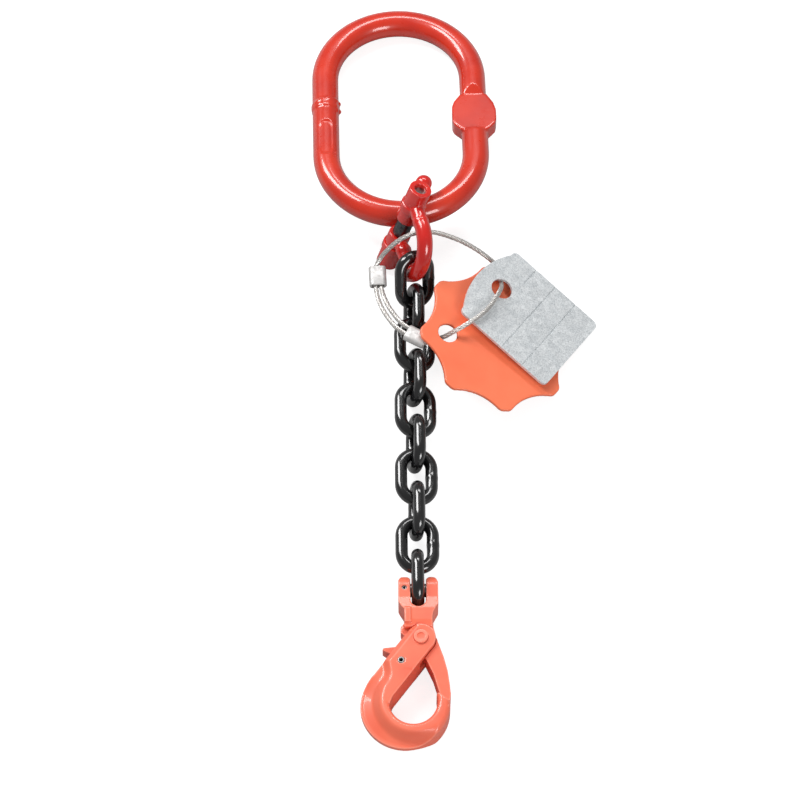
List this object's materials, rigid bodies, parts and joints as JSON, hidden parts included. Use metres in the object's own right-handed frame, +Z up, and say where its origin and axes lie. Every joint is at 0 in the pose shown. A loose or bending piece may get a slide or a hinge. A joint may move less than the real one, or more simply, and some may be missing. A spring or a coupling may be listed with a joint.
{
  "type": "chain sling with self-locking hook",
  "caption": "Short chain sling with an oblong master link, a split coupling link, a clevis self-locking hook and a wire loop that carries its grade plate and rating tag.",
  "frame": {"origin": "centre of the bounding box in plan, on the ground it lies on", "axes": "+Y along the leg from the hook to the master link, +X to the side the tags lie on, +Z up"},
  "size_m": [0.1423, 0.4123, 0.0546],
  "materials": {
    "red_enamel": "gloss",
    "deep_red_enamel": "gloss",
    "phosphated_steel": "satin",
    "pin_steel": "satin",
    "black_lacquer": "gloss",
    "coral_powder_coat": "satin",
    "coral_plate": "satin",
    "galvanised_sheet": "satin",
    "stranded_stainless": "satin",
    "crimped_aluminium": "satin"
  },
  "bodies": {
    "ring": {"master_link": "red_enamel"},
    "upper_half": {"coupling_half_upper": "deep_red_enamel", "coupling_pin": "pin_steel", "coupling_bush": "phosphated_steel"},
    "lower_half": {"coupling_half_lower": "deep_red_enamel"},
    "tag_loop": {"tag_wire": "stranded_stainless", "ferrule_upper": "crimped_aluminium", "ferrule_lower": "crimped_aluminium"},
    "plate": {"grade_plate": "coral_plate"},
    "tag": {"rating_tag": "galvanised_sheet"},
    "link_01": {"chain_link_01": "black_lacquer"},
    "link_02": {"chain_link_02": "black_lacquer"},
    "link_03": {"chain_link_03": "black_lacquer"},
    "link_04": {"chain_link_04": "black_lacquer"},
    "link_05": {"chain_link_05": "black_lacquer"},
    "link_06": {"chain_link_06": "black_lacquer"},
    "link_07": {"chain_link_07": "black_lacquer"},
    "link_08": {"chain_link_08": "black_lacquer"},
    "link_09": {"chain_link_09": "black_lacquer"},
    "link_10": {"chain_link_10": "black_lacquer"},
    "hook": {"hook_clevis": "coral_powder_coat", "load_pin": "pin_steel", "load_pin_keeper": "pin_steel"},
    "jaw": {"hook_jaw": "coral_powder_coat", "jaw_rivet": "coral_powder_coat", "trigger_pin": "pin_steel"},
    "trigger": {"trigger": "coral_powder_coat", "trigger_spring": "pin_steel"}
  },
  "joints": [
    {"name": "coupling_on_ring", "type": "hinge", "parent": "ring", "child": "upper_half", "pos_m": [-0.02382, 0.07624, 0.01971], "axis": [0.9997, 0.0262, 0], "range_deg": [-30, 30]},
    {"name": "coupling_on_pin", "type": "hinge", "parent": "upper_half", "child": "lower_half", "pos_m": [-0.02352, 0.0649, 0.02732], "axis": [0.3069, 0.2149, 0.9272], "range_deg": [-25, 25]},
    {"name": "link_01_on_coupling", "type": "hinge", "parent": "lower_half", "child": "link_01", "pos_m": [-0.01531, 0.03941, 0.02997], "axis": [0.3069, 0.2149, 0.9272], "range_deg": [-8, 12]},
    {"name": "link_02_bend", "type": "hinge", "parent": "link_01", "child": "link_02", "pos_m": [-0.01808, 0.0302, 0.01084], "axis": [0.908, 0.3262, -0.263], "range_deg": [0, 10]},
    {"name": "link_03_bend", "type": "hinge", "parent": "link_02", "child": "link_03", "pos_m": [-0.01839, 0.01874, 0.0105], "axis": [0.9455, 0.0099, -0.3256], "range_deg": [0, 20]},
    {"name": "link_04_bend", "type": "hinge", "parent": "link_03", "child": "link_04", "pos_m": [-0.01814, -0.00566, 0.0105], "axis": [0.9455, 0.0099, -0.3256], "range_deg": [0, 20]},
    {"name": "link_05_bend", "type": "hinge", "parent": "link_04", "child": "link_05", "pos_m": [-0.01801, -0.01746, 0.0105], "axis": [0.9563, 0.01, -0.2924], "range_deg": [0, 20]},
    {"name": "link_06_swing", "type": "hinge", "parent": "link_05", "child": "link_06", "pos_m": [-0.01782, -0.03556, 0.0105], "axis": [0.2419, 0.0025, 0.9703], "range_deg": [-15, 15]},
    {"name": "link_07_swing", "type": "hinge", "parent": "link_06", "child": "link_07", "pos_m": [-0.01757, -0.05996, 0.0105], "axis": [0.2419, 0.0025, 0.9703], "range_deg": [-15, 15]},
    {"name": "link_08_swing", "type": "hinge", "parent": "link_07", "child": "link_08", "pos_m": [-0.01744, -0.07175, 0.0105], "axis": [0.1392, 0.0015, 0.9903], "range_deg": [-15, 15]},
    {"name": "link_09_swing", "type": "hinge", "parent": "link_08", "child": "link_09", "pos_m": [-0.01719, -0.09615, 0.0105], "axis": [0.1392, 0.0015, 0.9903], "range_deg": [-15, 15]},
    {"name": "link_10_swing", "type": "hinge", "parent": "link_09", "child": "link_10", "pos_m": [-0.01707, -0.10795, 0.0105], "axis": [0, 0, 1], "range_deg": [-15, 15]},
    {"name": "hook_on_chain", "type": "hinge", "parent": "link_10", "child": "hook", "pos_m": [-0.01681, -0.12545, 0.0097], "axis": [0.9999, 0.0105, 0], "range_deg": [-25, 25]},
    {"name": "jaw_opening", "type": "hinge", "parent": "hook", "child": "jaw", "pos_m": [-0.01562, -0.15284, 0.0097], "axis": [0, 0, 1], "range_deg": [-36, 0]},
    {"name": "trigger_press", "type": "hinge", "parent": "jaw", "child": "trigger", "pos_m": [-0.0248, -0.16444, 0.0097], "axis": [0, 0, 1], "range_deg": [0, 10], "stiffness_Nm_per_rad": 0.05},
    {"name": "tag_loop_lift", "type": "hinge", "parent": "lower_half", "child": "tag_loop", "pos_m": [-0.01746, 0.05448, 0.0376], "axis": [1, 0, 0], "range_deg": [-60, 0]},
    {"name": "plate_swivel", "type": "hinge", "parent": "tag_loop", "child": "plate", "pos_m": [-0.00212, 0.00631, 0.02268], "axis": [0.3256, 0, 0.9455], "range_deg": [-6, 6]},
    {"name": "tag_swivel", "type": "hinge", "parent": "tag_loop", "child": "tag", "pos_m": [0.02453, 0.03306, 0.01944], "axis": [0.3665, 0, 0.9304], "range_deg": [-6, 6]}
  ]
}
